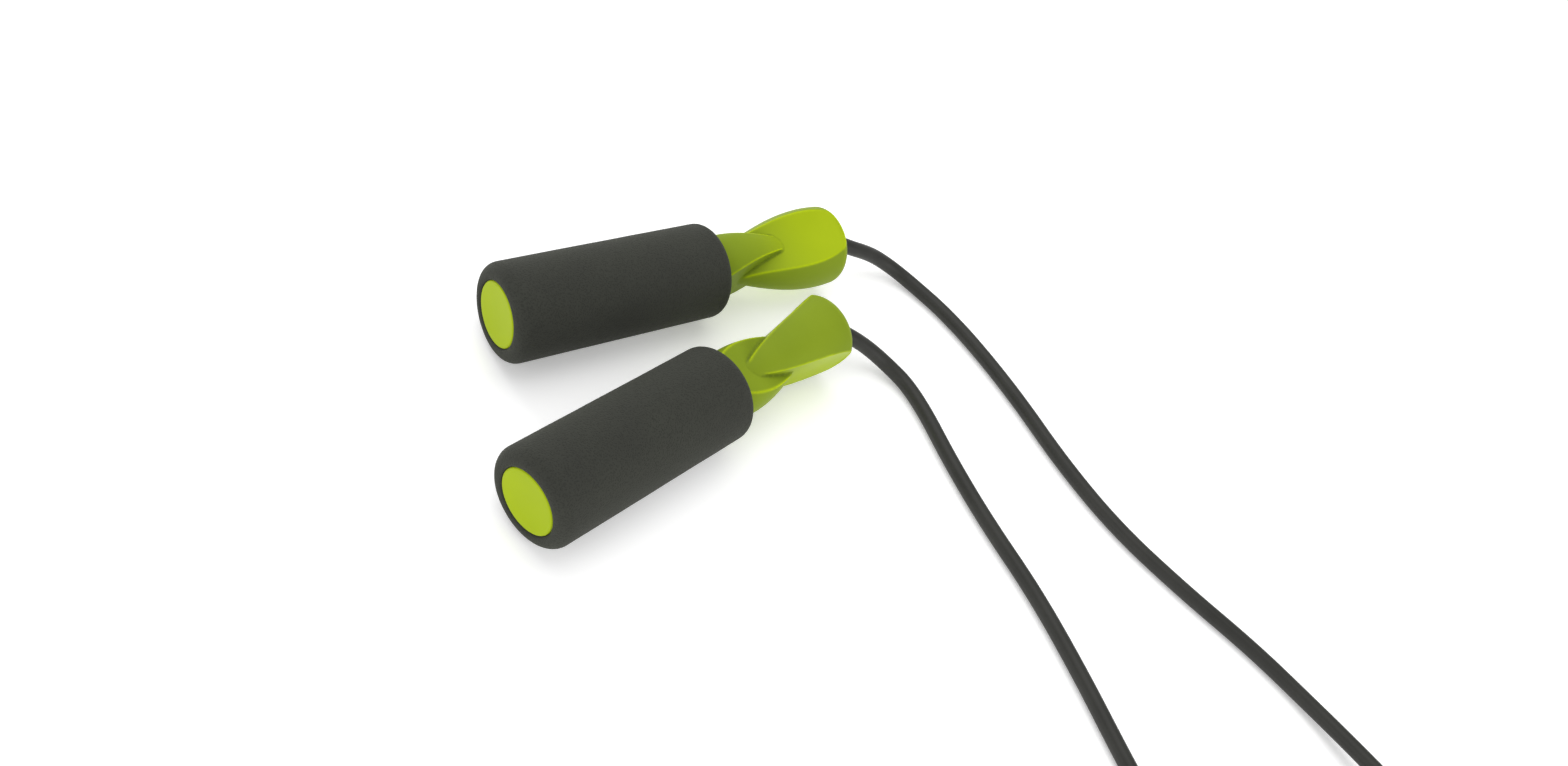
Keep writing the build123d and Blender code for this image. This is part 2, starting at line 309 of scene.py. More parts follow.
curve = bpy.data.curves.new("rope", "CURVE")
curve.dimensions = "3D"
curve.resolution_u = 6
spline = curve.splines.new("NURBS")
spline.points.add(len(route) - 1)
for point, place in zip(spline.points, route):
    point.co = (*place, 1.0)
spline.order_u = 3
spline.use_endpoint_u = True


def centre_length(line):
    """Length of a curve that has no thickness yet."""
    probe = new_object("probe", line)
    view = bpy.context.evaluated_depsgraph_get()
    mesh = bpy.data.meshes.new_from_object(probe.evaluated_get(view))
    places = [vertex.co.copy() for vertex in mesh.vertices]
    bpy.data.objects.remove(probe)
    bpy.data.meshes.remove(mesh)
    return sum((b - a).length for a, b in zip(places, places[1:]))


rope_length = centre_length(curve)
curve.bevel_depth = ROPE_RADIUS
curve.bevel_resolution = 5
rope = new_object("rope", curve)
print(f"rope: {rope_length:.3f} m on {len(route)} points")

# %% [markdown]
# ## Ground and light
#
# A product like this is shot in a light tent: a white table, a soft surround
# and big soft boxes. The main one hangs over the table, one stands behind the
# far handle to draw a bright line on its upper edges, and weaker ones light
# the near sides and the butt ends. The table glows a little itself, as a light
# table does, so only the shadow right under each piece shows on it.

# %% Ground and lamps
TABLE_HALF = 4.0
SURROUND = 0.52
TABLE_GLOW = 0.3

ground_mesh = bpy.data.meshes.new("ground")
corners = [(x * TABLE_HALF, y * TABLE_HALF, 0) for x, y in ((-1, -1), (1, -1), (1, 1), (-1, 1))]
ground_mesh.from_pydata(corners, [], [(0, 1, 2, 3)])
ground = new_object("ground", ground_mesh)
ground_paint = bpy.data.materials.new("ground")
ground_paint.use_nodes = True
ground_shader = ground_paint.node_tree.nodes["Principled BSDF"]
ground_shader.inputs["Base Color"].default_value = (0.93, 0.93, 0.93, 1)
ground_shader.inputs["Roughness"].default_value = 0.9
ground_shader.inputs["Specular IOR Level"].default_value = 0.1
ground_shader.inputs["Emission Color"].default_value = (1, 1, 1, 1)
ground_shader.inputs["Emission Strength"].default_value = TABLE_GLOW
ground_mesh.materials.append(ground_paint)

world = bpy.data.worlds.new("surround")
world.use_nodes = True
world.node_tree.nodes["Background"].inputs["Color"].default_value = (1, 1, 1, 1)
world.node_tree.nodes["Background"].inputs["Strength"].default_value = SURROUND
bpy.context.scene.world = world


def soft_lamp(name, place, aim, size, power):
    """Square area lamp that points at aim."""
    lamp = bpy.data.lights.new(name, "AREA")
    lamp.size = size
    lamp.energy = power
    piece = bpy.data.objects.new(name, lamp)
    piece.location = place
    piece.rotation_mode = "QUATERNION"
    piece.rotation_quaternion = (Vector(aim) - Vector(place)).to_track_quat("-Z", "Y")
    bpy.context.scene.collection.objects.link(piece)


HANDLES = (0.0, 0.0, 0.02)
soft_lamp("top_box", place=(0.15, 0.25, 1.2), aim=(0.0, 0.0, 0.0), size=1.2, power=6.5)
soft_lamp("far_box", place=(0.2, 0.95, 0.4), aim=HANDLES, size=0.8, power=5)
soft_lamp("near_box", place=(0.1, -0.95, 0.3), aim=HANDLES, size=0.8, power=3.5)
soft_lamp("butt_box", place=(-0.95, -0.1, 0.4), aim=HANDLES, size=0.8, power=2.5)
bpy.context.scene.view_settings.view_transform = "Standard"
print("ground and lamps in place")

# %% [markdown]
# ## Shared surface effects
#
# Two effects come back on several materials, so each is a shader group that
# is built once:
#
# * **grain** is two sizes of mottling. Every material uses it to vary its
#   colour or roughness a little, and most take a low bump from it;
# * **worn edge** finds the sharp outer edges of a piece. All the small
#   fittings use it, because wear makes their edges paler.

# %% Effect groups
def start_group(name, inputs, outputs):
    """Empty shader group with named number or vector inputs and outputs."""
    group = bpy.data.node_groups.new(name, "ShaderNodeTree")
    for label, kind, value in inputs:
        socket = group.interface.new_socket(label, in_out="INPUT", socket_type=f"NodeSocket{kind}")
        if value is not None:
            socket.default_value = value
    for label, kind in outputs:
        group.interface.new_socket(label, in_out="OUTPUT", socket_type=f"NodeSocket{kind}")
    wire = Wire(group)
    return group, wire, wire.add("NodeGroupInput").outputs, wire.add("NodeGroupOutput").inputs


def make_grain():
    """Soft mottling from two sizes of noise."""
    group, wire, given, out = start_group(
        "grain",
        [("Vector", "Vector", None), ("Fine per metre", "Float", 2500.0), ("Broad per metre", "Float", 60.0)],
        [("Fine", "Float"), ("Broad", "Float")],
    )
    fine = wire.add("ShaderNodeTexNoise", Vector=given["Vector"], Scale=given["Fine per metre"], Detail=3.0)
    broad = wire.add("ShaderNodeTexNoise", Vector=given["Vector"], Scale=given["Broad per metre"], Detail=2.0)
    group.links.new(fine.outputs[0], out["Fine"])
    group.links.new(broad.outputs[0], out["Broad"])
    return group


def make_worn_edge():
    """Mask that is 1 on sharp outer edges, broken up a little by noise."""
    group, wire, given, out = start_group(
        "worn edge",
        [("Vector", "Vector", None), ("Start", "Float", 0.52), ("Full", "Float", 0.62)],
        [("Edge", "Float")],
    )
    shape = wire.add("ShaderNodeNewGeometry")
    breaks = wire.add("ShaderNodeTexNoise", Vector=given["Vector"], Scale=350.0, Detail=2.0)
    sway = wire.math("MULTIPLY", wire.math("SUBTRACT", breaks.outputs[0], 0.5), 0.05)
    bend = wire.math("ADD", shape.outputs["Pointiness"], sway)
    mask = wire.add("ShaderNodeMapRange", Value=bend, From_Min=given["Start"], From_Max=given["Full"])
    group.links.new(mask.outputs[0], out["Edge"])
    return group


GRAIN = make_grain()
WORN_EDGE = make_worn_edge()
print("effect groups:", GRAIN.name, WORN_EDGE.name)

# %% [markdown]
# ## Materials
#
# Every material starts the same way, with a Principled shader and the piece's
# own Object coordinates. `start_material` sets that up, `group_node` adds one
# of the shared effects, and each material then adds what is special to it.

# %% Material starter
def start_material(name, roughness, **values):
    """Material with a shader, Object coordinates and a wire to add to it."""
    paint = bpy.data.materials.new(name)
    paint.use_nodes = True
    wire = Wire(paint.node_tree)
    shader = paint.node_tree.nodes["Principled BSDF"]
    shader.inputs["Roughness"].default_value = roughness
    for label, value in values.items():
        shader.inputs[label.replace("_", " ")].default_value = value
    place = wire.add("ShaderNodeTexCoord").outputs["Object"]
    return paint, wire, shader, place


def group_node(wire, group, place, **values):
    """Place an effect group in a material, fed by the piece's coordinates."""
    node = wire.add("ShaderNodeGroup", {"node_tree": group})
    wire.tree.links.new(place, node.inputs["Vector"])
    for label, value in values.items():
        node.inputs[label.replace("_", " ")].default_value = value
    return node


def blend_colour(wire, factor, one, two):
    """Colour that runs from one to two as the factor goes from 0 to 1."""
    mix = wire.add("ShaderNodeMix", {"data_type": "RGBA"})
    wire.tree.links.new(factor, mix.inputs[0])
    for socket, colour in ((mix.inputs[6], one), (mix.inputs[7], two)):
        if isinstance(colour, bpy.types.NodeSocket):
            wire.tree.links.new(colour, socket)
        else:
            socket.default_value = (*colour, 1)
    return mix.outputs[2]


def ramp(wire, value, low, high, start=0.0, end=1.0):
    """Number that runs from start to end as value goes from low to high."""
    node = wire.add("ShaderNodeMapRange", Value=value, From_Min=low, From_Max=high, To_Min=start, To_Max=end)
    return node.outputs[0]


def bump(wire, height, distance, strength=1.0):
    """Bump of this depth in metres."""
    node = wire.add("ShaderNodeBump", Height=height, Distance=distance, Strength=strength)
    return node.outputs[0]


print("material helpers ready")

# %% [markdown]
# ### Grip foam
#
# The grips are black closed-cell foam, moulded and then ground round. The
# skin is dead matt and slightly grey where light grazes the broken cell
# walls, so the shader is rough and has a little sheen. Its relief is the foam's
# own cells: tiny shallow pits with rims, set out by a Voronoi texture whose
# coordinates are shaken a little so that no two pits are alike. The pits are
# painted darker, as painted shade in them. The grain group lets the tone drift
# slightly along the grip.

# %% Grip foam
CELL_JITTER = 0.0011
CELL_FUZZ = 0.5
PIT_PAINTED_SHADE = 0.45
CELL_RELIEF = 0.09 * MM


def add_cells(wire, place, cells_per_metre):
    """Skin of closed-cell foam: its height, and how deep in a pit each point is."""
    jitter = wire.add("ShaderNodeTexNoise", Vector=place, Scale=420.0, Detail=1.0)
    moved = wire.sum(place, wire.scaled(jitter.outputs["Color"], CELL_JITTER))
    pits = wire.add("ShaderNodeTexVoronoi", Vector=moved, Scale=cells_per_metre)
    rim = wire.add(
        "ShaderNodeMapRange", {"interpolation_type": "SMOOTHSTEP"},
        Value=pits.outputs["Distance"], From_Min=0.12, From_Max=0.62,
    ).outputs[0]
    fuzz = wire.add("ShaderNodeTexNoise", Vector=place, Scale=3800.0, Detail=2.0).outputs[0]
    height = wire.math("ADD", rim, wire.math("MULTIPLY", fuzz, CELL_FUZZ))
    return height, wire.math("SUBTRACT", 1.0, rim)


def make_grip_foam():
    """Matt black closed-cell foam."""
    paint, wire, shader, place = start_material("grip_foam", 0.92, Sheen_Weight=0.06, Sheen_Roughness=0.6)
    shader.inputs["Sheen Tint"].default_value = (0.72, 0.75, 0.62, 1)
    shader.inputs["Specular IOR Level"].default_value = 0.15
    height, pit = add_cells(wire, place, cells_per_metre=1500.0)
    grain = group_node(wire, GRAIN, place, Broad_per_metre=45.0)
    broad_part = wire.math("MULTIPLY", grain.outputs["Broad"], 0.6)
    fine_part = wire.math("MULTIPLY", grain.outputs["Fine"], 0.4)
    tone = ramp(wire, wire.math("ADD", broad_part, fine_part), 0.3, 0.7)
    skin = blend_colour(wire, tone, (0.033, 0.034, 0.029), (0.044, 0.046, 0.038))
    # The pits are painted darker, as painted shade in the hollows.
    depth = wire.math("MULTIPLY", pit, PIT_PAINTED_SHADE)
    colour = blend_colour(wire, depth, skin, (0.016, 0.017, 0.014))
    wire.tree.links.new(colour, shader.inputs["Base Color"])
    wire.tree.links.new(ramp(wire, grain.outputs["Broad"], 0.3, 0.7, 0.86, 0.98), shader.inputs["Roughness"])
    wire.tree.links.new(bump(wire, height, CELL_RELIEF), shader.inputs["Normal"])
    return paint


GRIP_FOAM = make_grip_foam()
print("made", GRIP_FOAM.name)

# %% [markdown]
# ### Lime plastic
#
# The heads and butt caps are one lime-green plastic, but with two finishes.
# The round faces come from a finely etched mould and are matt and olive. The
# scooped flats and the butt discs come from a polished one and are glossier;
# their colour is a brighter, yellower copy of the lime, which is painted light.
# A number stored on every vertex says which finish a place has, so the border
# between the two follows the moulding's own edges. A second number, "edge", is
# 1 on the thin outer edges, which get a painted glow, and -1 in the folds, which
# get painted shade.

# %% Lime plastic
MATT_LIME = ((0.205, 0.283, 0.016), (0.230, 0.312, 0.018))
# The polished colour is painted light: a brighter, yellower copy of the matt lime.
BRIGHT_PAINTED_LIGHT_LIME = ((0.345, 0.448, 0.006), (0.375, 0.480, 0.008))
# A painted glow for thin edges, and painted shade for folds.
EDGE_PAINTED_GLOW_LIME = (0.50, 0.63, 0.003)
FOLD_PAINTED_SHADE_LIME = (0.130, 0.182, 0.012)
POLISH_GLOSS = 0.10
ETCH_LEFT_WHEN_POLISHED = 0.25
ETCH_RELIEF = 0.05 * MM


def make_lime_plastic():
    """One plastic with an etched and a polished finish."""
    paint, wire, shader, place = start_material("lime_plastic", 0.42)
    shader.inputs["Specular IOR Level"].default_value = 0.05
    grain = group_node(wire, GRAIN, place, Fine_per_metre=1600.0, Broad_per_metre=38.0)
    polish_and_painted_light = wire.add("ShaderNodeAttribute", {"attribute_name": "polish_and_painted_light"}).outputs["Fac"]
    broad = ramp(wire, grain.outputs["Broad"], 0.3, 0.7)
    matt = blend_colour(wire, broad, *MATT_LIME)
    painted_lit = blend_colour(wire, broad, *BRIGHT_PAINTED_LIGHT_LIME)
    # Polished places take the brighter copy, which is painted light; they are also glossier and less etched
    # below.
    face = blend_colour(wire, polish_and_painted_light, matt, painted_lit)
    edge = wire.add("ShaderNodeAttribute", {"attribute_name": "edge"}).outputs["Fac"]
    # Folds are painted darker as painted shade, and thin edges brighter as a painted glow.
    fold_painted_shade = blend_colour(wire, ramp(wire, edge, 0.0, -1.0), face, FOLD_PAINTED_SHADE_LIME)
    colour = blend_colour(wire, ramp(wire, edge, 0.0, 1.0), fold_painted_shade, EDGE_PAINTED_GLOW_LIME)
    wire.tree.links.new(colour, shader.inputs["Base Color"])
    rough = ramp(wire, grain.outputs["Broad"], 0.3, 0.7, 0.42, 0.50)
    rough = wire.math("SUBTRACT", rough, wire.math("MULTIPLY", polish_and_painted_light, POLISH_GLOSS))
    wire.tree.links.new(rough, shader.inputs["Roughness"])
    etch_left = ramp(wire, polish_and_painted_light, 0.0, 1.0, 1.0, ETCH_LEFT_WHEN_POLISHED)
    etched = wire.math("MULTIPLY", grain.outputs["Fine"], etch_left)
    wire.tree.links.new(bump(wire, etched, ETCH_RELIEF), shader.inputs["Normal"])
    return paint


LIME_PLASTIC = make_lime_plastic()
print("made", LIME_PLASTIC.name)

# %% [markdown]
# ### Rope cord
#
# The rope is a solid extruded cord, almost black, with a satin skin. Drawing
# it out of a die leaves faint lines along its length, so that pattern must
# follow the cord, not the room: it reads the curve's own UV map, which runs
# along the cord in one direction and round it in the other. Round the cord
# the map is bent into a circle, so that its two ends meet without a seam.

# %% Rope cord
DRAW_LINES_ALONG = 3.0
DRAW_LINE_RELIEF = 0.04 * MM


def make_rope_cord():
    """Satin black cord with faint lines along its length."""
    paint, wire, shader, place = start_material("rope_cord", 0.46)
    shader.inputs["Specular IOR Level"].default_value = 0.3
    grain = group_node(wire, GRAIN, place, Fine_per_metre=1900.0, Broad_per_metre=70.0)
    tone = ramp(wire, grain.outputs["Broad"], 0.3, 0.7)
    colour = blend_colour(wire, tone, (0.020, 0.020, 0.017), (0.027, 0.027, 0.023))

    flat_map = wire.add("ShaderNodeTexCoord").outputs["UV"]
    along, around = wire.add("ShaderNodeSeparateXYZ", Vector=flat_map).outputs[:2]
    turn = wire.math("MULTIPLY", around, 2 * math.pi)
    ring = wire.add(
        "ShaderNodeCombineXYZ", X=wire.math("COSINE", turn), Y=wire.math("SINE", turn),
        Z=wire.math("MULTIPLY", along, DRAW_LINES_ALONG),
    ).outputs[0]
    lines = wire.add("ShaderNodeTexNoise", Vector=ring, Scale=6.0, Detail=2.0).outputs[0]
    streaked = blend_colour(wire, ramp(wire, lines, 0.35, 0.75, 0.0, 0.35), colour, (0.038, 0.038, 0.034))
    wire.tree.links.new(streaked, shader.inputs["Base Color"])
    wire.tree.links.new(ramp(wire, lines, 0.3, 0.7, 0.38, 0.52), shader.inputs["Roughness"])
    relief = wire.math("ADD", wire.math("MULTIPLY", grain.outputs["Fine"], 0.3), lines)
    wire.tree.links.new(bump(wire, relief, DRAW_LINE_RELIEF), shader.inputs["Normal"])
    return paint


ROPE_CORD = make_rope_cord()
curve.materials.append(ROPE_CORD)
print("made", ROPE_CORD.name)

# %% [markdown]
# ### Metals and nylon
#
# The bearing, its shields, the retaining ring, the sleeve and the stop are
# small turned or pressed metal pieces, and the ball retainer is nylon. One
# function makes all their finishes, because each is a colour and a roughness
# with a fine grain and paler worn edges. Nylon only leaves out the metal.

# %% Metals and nylon
SHADE = 0.86
WEAR = 0.6
FITTING_RELIEF = 0.012 * MM


def make_metal(name, colour, roughness, edge_colour, metallic=1.0):
    """Finish of one small fitting."""
    paint, wire, shader, place = start_material(name, roughness, Metallic=metallic)
    grain = group_node(wire, GRAIN, place, Fine_per_metre=4200.0, Broad_per_metre=180.0)
    edge = group_node(wire, WORN_EDGE, place)
    darker = tuple(SHADE * part for part in colour)
    face = blend_colour(wire, ramp(wire, grain.outputs["Broad"], 0.3, 0.7), darker, colour)
    worn = blend_colour(wire, wire.math("MULTIPLY", edge.outputs["Edge"], WEAR), face, edge_colour)
    wire.tree.links.new(worn, shader.inputs["Base Color"])
    low, high = roughness - 0.06, roughness + 0.08
    wire.tree.links.new(ramp(wire, grain.outputs["Fine"], 0.3, 0.7, low, high), shader.inputs["Roughness"])
    wire.tree.links.new(bump(wire, grain.outputs["Fine"], FITTING_RELIEF), shader.inputs["Normal"])
    return paint


METALS = {
    "bearing_steel": make_metal("bearing_steel", (0.60, 0.61, 0.63), 0.22, (0.80, 0.80, 0.81)),
    "ball_steel": make_metal("ball_steel", (0.72, 0.73, 0.75), 0.12, (0.85, 0.85, 0.86)),
    "shield_steel": make_metal("shield_steel", (0.50, 0.50, 0.52), 0.34, (0.70, 0.70, 0.71)),
    "spring_steel": make_metal("spring_steel", (0.09, 0.09, 0.10), 0.38, (0.40, 0.40, 0.41)),
    "sleeve_metal": make_metal("sleeve_metal", (0.66, 0.66, 0.68), 0.30, (0.84, 0.84, 0.85)),
    "stop_brass": make_metal("stop_brass", (0.70, 0.50, 0.20), 0.30, (0.85, 0.68, 0.36)),
    "retainer_nylon": make_metal(
        "retainer_nylon", (0.62, 0.57, 0.44), 0.50, (0.75, 0.71, 0.58), metallic=0.0,
    ),
}
FINISH = dict(METALS, grip_foam=GRIP_FOAM, head_plastic=LIME_PLASTIC, rope_cord=ROPE_CORD)

for entry in record["subparts"]:
    node = nodes[entry["node"]]
    for holder in node.material_slots:
        holder.material = FINISH[entry["material_slot"]]
print("finishes:", ", ".join(sorted(FINISH)))

# %% [markdown]
# ## Twisted heads
#
# Each head is one moulding. A flattened neck leaves the grip, and a bulb
# flattened the other way grows out of it, so that the two wedges cross like a
# twisted strap. The model has this shape with knife-sharp edges. A real
# moulding has soft ones, so the piece is copied, remeshed into small even
# cells, and relaxed: relaxing small cells rounds every edge by the same
# amount, in and out, and leaves the broad faces where they are.

# %% Even cells and relaxing
HEAD_CELL = 0.4 * MM
HEAD_RELAX = 8
WELD = 0.001 * MM


def even_copy(name, source, cell):
    """Copy of a model node, remeshed into even cells."""
    mesh = nodes[source].data.copy()
    merge = bmesh.new()
    merge.from_mesh(mesh)
    bmesh.ops.remove_doubles(merge, verts=merge.verts, dist=WELD)
    merge.to_mesh(mesh)
    merge.free()
    piece = new_object(name, mesh)
    cells = piece.modifiers.new("cells", "REMESH")
    cells.mode = "VOXEL"
    cells.voxel_size = cell
    return bake_modifiers(piece)


def relax(piece, times):
    """Move every point towards the middle of its neighbours, this many times."""
    even = piece.modifiers.new("relax", "SMOOTH")
    even.factor = 0.5
    even.iterations = times
    bake_modifiers(piece)
    shade_smooth(piece.data)


def store(mesh, name, values):
    """Keep one number for every vertex, under this name."""
    mesh.attributes.new(name, "FLOAT", "POINT").data.foreach_set("value", values)


print(f"heads get cells of {HEAD_CELL / MM:.1f} mm, relaxed {HEAD_RELAX} times")

# %% [markdown]
# Between those two steps each flat is hollowed crosswise by a little under a
# millimetre, as a thumb would press it, and the same pass stores the number
# that marks the flats as polished, which also paints them brighter as painted
# light. Afterwards the "edge" number is found by relaxing a spare copy much
# further: that pulls an edge in and fills a fold, so how far a point moved
# says how sharp its place is, and it sets the painted glow on edges and the
# painted shade in folds. The spare copy is then thrown away.

# %% Flats and edges
HANDLE_ROLL = {"left": math.radians(104.0), "right": math.radians(15.0)}
FLAT_START = GRIP_LENGTH + 8 * MM
FLAT_FULL = TIP - 12 * MM
FLAT_FADE = TIP - 1.6 * MM
FLAT_END = TIP - 0.4 * MM
FLAT_HALF_WIDTH = 12.0 * MM
FLAT_SCOOP = 0.9 * MM
FACING_LEAST = 0.80
FACING_FULL = 0.92
EDGE_RELAX = 22
EDGE_LEAST = 0.03 * MM
EDGE_FULL = 0.16 * MM


def scoop_flats(head, side):
    """Hollow the two flats crosswise and mark them as polished, which also paints them brighter as painted
    light.

    Returns the mean of these marks over all points.
    """
    mesh = head.data
    into = (LAY[side] @ Matrix.Rotation(HANDLE_ROLL[side], 4, "X")).inverted()
    inverse = into.inverted()
    # Every normal is read before any vertex moves, because a move makes them all stale.
    facings = [into.to_3x3() @ vertex.normal for vertex in mesh.vertices]
    places = [into @ vertex.co for vertex in mesh.vertices]
    polish_and_painted_light = []
    moved = []
    for place, facing in zip(places, facings):
        # The mark grows along each flat towards the tip and fades just before its end, so the painted light
        # is strongest near the tip.
        along = rise(place.x, FLAT_START, FLAT_FULL) - rise(place.x, FLAT_FADE, FLAT_END)
        # Only outer walls face away from the axis, so the bore keeps its size.
        outward = facing.y * math.copysign(1.0, place.y)
        on_flat = rise(outward, FACING_LEAST, FACING_FULL) * along
        polish_and_painted_light.append(on_flat)
        hollow = max(0.0, 1 - (place.z / FLAT_HALF_WIDTH) ** 2)
        place.y -= math.copysign(FLAT_SCOOP * hollow * on_flat, place.y)
        moved.extend(inverse @ place)
    mesh.vertices.foreach_set("co", moved)
    mesh.update()
    store(mesh, "polish_and_painted_light", polish_and_painted_light)
    return sum(polish_and_painted_light) / len(polish_and_painted_light)


def mark_edges(head):
    """Find edges and folds: relaxing pulls an edge in and fills a fold."""
    relaxed = new_object("relaxed", head.data.copy())
    relax(relaxed, EDGE_RELAX)
    marks = []
    for before, after in zip(head.data.vertices, relaxed.data.vertices):
        pulled = (before.co - after.co).dot(before.normal)
        sharpness = (abs(pulled) - EDGE_LEAST) / (EDGE_FULL - EDGE_LEAST)
        marks.append(math.copysign(min(max(sharpness, 0.0), 1.0), pulled))
    bpy.data.objects.remove(relaxed)
    # These marks give thin edges a painted glow and folds painted shade in the lime colour.
    store(head.data, "edge", marks)


print(f"flats are hollowed by {FLAT_SCOOP / MM:.1f} mm")

# %% [markdown]
# Now both heads are made in that order and take the place of the model's own.

# %% Heads
for side in SIDES:
    head = even_copy(f"{side}_head", f"{side}_twist_head", HEAD_CELL)
    share = scoop_flats(head, side)
    relax(head, HEAD_RELAX)
    mark_edges(head)
    head.data.materials.clear()
    head.data.materials.append(LIME_PLASTIC)
    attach(head, f"{side}_handle")
    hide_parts(f"{side}_twist_head")
    print(head.name, len(head.data.polygons), "faces,", round(100 * share), "% polished")

# %% [markdown]
# ## Geometry Nodes pieces
#
# Some pieces follow a rule that is worth keeping as a rule: a sleeve is one
# section carried round a circle, and the balls of a bearing are one ball
# repeated round a circle. Each is a small Geometry Nodes tree whose sizes are
# named inputs. The tree's result is then turned into a plain mesh, laid on
# the handle's axis, and the modifier goes away.

# %% Geometry Nodes helpers
def start_tree(name, inputs):
    """Empty geometry tree with these named inputs: (label, kind, value)."""
    tree = bpy.data.node_groups.new(name, "GeometryNodeTree")
    for label, kind, value in inputs:
        socket = tree.interface.new_socket(label, in_out="INPUT", socket_type=f"NodeSocket{kind}")
        if value is not None:
            socket.default_value = value
    tree.interface.new_socket("Geometry", in_out="OUTPUT", socket_type="NodeSocketGeometry")
    wire = Wire(tree)
    return tree, wire, wire.add("NodeGroupInput").outputs


def end_tree(wire, geometry, material):
    """Smooth the faces, realize the instances, set the material and close the tree."""
    smooth = wire.add("GeometryNodeSetShadeSmooth", Geometry=geometry).outputs[0]
    real = wire.add("GeometryNodeRealizeInstances", Geometry=smooth).outputs[0]
    painted = wire.add("GeometryNodeSetMaterial", Geometry=real, Material=material).outputs[0]
    wire.add("NodeGroupOutput", Geometry=painted)


def grow(name, tree, lay, **values):
    """Mesh that the tree makes with these input values, laid in its place."""
    piece = new_object(name, bpy.data.meshes.new(name))
    modifier = piece.modifiers.new("grow", "NODES")
    modifier.node_group = tree
    labels = {item.name: item.identifier for item in tree.interface.items_tree if item.in_out == "INPUT"}
    for label, value in values.items():
        modifier[labels[label.replace("_", " ")]] = value
    bake_modifiers(piece)
    piece.data.transform(lay)
    return piece


print("geometry tree helpers ready")

# %% [markdown]
# ## Foam grips
#
# A grip is a foam sleeve stretched over the core tube. Its two outer
# shoulders are ground round, the bore has a small soft lip at each end, and
# no foam is a perfect cylinder.
#
# The sleeve is a lathe job. Its section is a rectangle, as long as the grip
# and as thick as the foam's wall, with every corner filleted by its own
# radius. Curve to Mesh carries that section round a circle. Last, smooth
# noise pushes the outside in by a fraction of a millimetre, more far from the
# bore than near it, so that light rolls over the sleeve as over something
# soft, and the foam never stands out past its real size.

# %% Foam sleeve tree
BUTT_ROUND = 4.2 * MM
HEAD_ROUND = 4.7 * MM
LIP_ROUND = 0.9 * MM
FOAM_SWAY = 0.2 * MM
CORNER_STEPS = 14
SECTION_STEP = 0.8 * MM


def make_sleeve_tree():
    """Foam sleeve along +X from 0, with named sizes."""
    tree, wire, given = start_tree("foam sleeve", [
        ("Length", "Float", GRIP_LENGTH), ("Outer Radius", "Float", GRIP_RADIUS),
        ("Bore Radius", "Float", CORE_RADIUS), ("Butt Round", "Float", BUTT_ROUND),
        ("Head Round", "Float", HEAD_ROUND), ("Lip Round", "Float", LIP_ROUND),
        ("Steps Round", "Int", 160), ("Sway", "Float", FOAM_SWAY),
        ("Waves Per Metre", "Float", 55.0), ("Seed", "Float", 0.0), ("Material", "Material", None),
    ])
    wall = wire.math("SUBTRACT", given["Outer Radius"], given["Bore Radius"])
    middle = wire.math("MULTIPLY", wire.math("ADD", given["Outer Radius"], given["Bore Radius"]), 0.5)

    # Section: X is across the wall, from the bore out, and Y is along the grip.
    section = wire.add(
        "GeometryNodeCurvePrimitiveQuadrilateral", Width=wall, Height=given["Length"],
    ).outputs[0]
    place = wire.add("ShaderNodeSeparateXYZ", Vector=wire.add("GeometryNodeInputPosition").outputs[0])
    at_head = wire.math("GREATER_THAN", place.outputs["Y"], 0.0)
    at_outside = wire.math("GREATER_THAN", place.outputs["X"], 0.0)
    shoulder = wire.add(
        "GeometryNodeSwitch", {"input_type": "FLOAT"},
        Switch=at_head, False_=given["Butt Round"], True_=given["Head Round"],
    ).outputs[0]
    corner = wire.add(
        "GeometryNodeSwitch", {"input_type": "FLOAT"},
        Switch=at_outside, False_=given["Lip Round"], True_=shoulder,
    ).outputs[0]
    rounded = wire.add(
        "GeometryNodeFilletCurve", {"mode": "POLY"}, Curve=section, Radius=corner, Count=CORNER_STEPS,
    ).outputs[0]
    even = wire.add(
        "GeometryNodeResampleCurve", {"mode": "LENGTH"}, Curve=rounded, Length=SECTION_STEP,
    ).outputs[0]

    circle = wire.add(
        "GeometryNodeCurvePrimitiveCircle", {"mode": "RADIUS"},
        Resolution=given["Steps Round"], Radius=middle,
    ).outputs[0]
    turned = wire.add("GeometryNodeCurveToMesh", Curve=circle, Profile_Curve=even).outputs[0]
    half = wire.math("MULTIPLY", given["Length"], 0.5)
    shift = wire.add("ShaderNodeCombineXYZ", X=half).outputs[0]
    laid = wire.add(
        "GeometryNodeTransform", Geometry=turned, Translation=shift, Rotation=(0, math.pi / 2, 0),
    ).outputs[0]

    here = wire.add("GeometryNodeInputPosition").outputs[0]
    parts = wire.add("ShaderNodeSeparateXYZ", Vector=here).outputs
    across = wire.math("POWER", parts["Y"], 2.0)
    upward = wire.math("POWER", parts["Z"], 2.0)
    radius = wire.math("SQRT", wire.math("ADD", across, upward))
    soft = wire.add(
        "ShaderNodeMapRange", Value=radius, From_Min=given["Bore Radius"], From_Max=given["Outer Radius"],
    ).outputs[0]
    noise = wire.add(
        "ShaderNodeTexNoise", {"noise_dimensions": "4D"},
        Vector=here, W=given["Seed"], Scale=given["Waves Per Metre"], Detail=1.0,
    ).outputs[0]
    depth = wire.math("MULTIPLY", wire.math("MULTIPLY", soft, noise), given["Sway"])
    outward = wire.add("GeometryNodeInputNormal").outputs[0]
    push = wire.scaled(outward, wire.math("MULTIPLY", depth, -1.0))
    swayed = wire.add("GeometryNodeSetPosition", Geometry=laid, Offset=push).outputs[0]
    end_tree(wire, swayed, given["Material"])
    return tree


SLEEVE_TREE = make_sleeve_tree()
print("tree:", SLEEVE_TREE.name, "with", len(SLEEVE_TREE.nodes), "nodes")

# %% [markdown]
# The same tree makes both sleeves; only the seed of the unevenness differs.

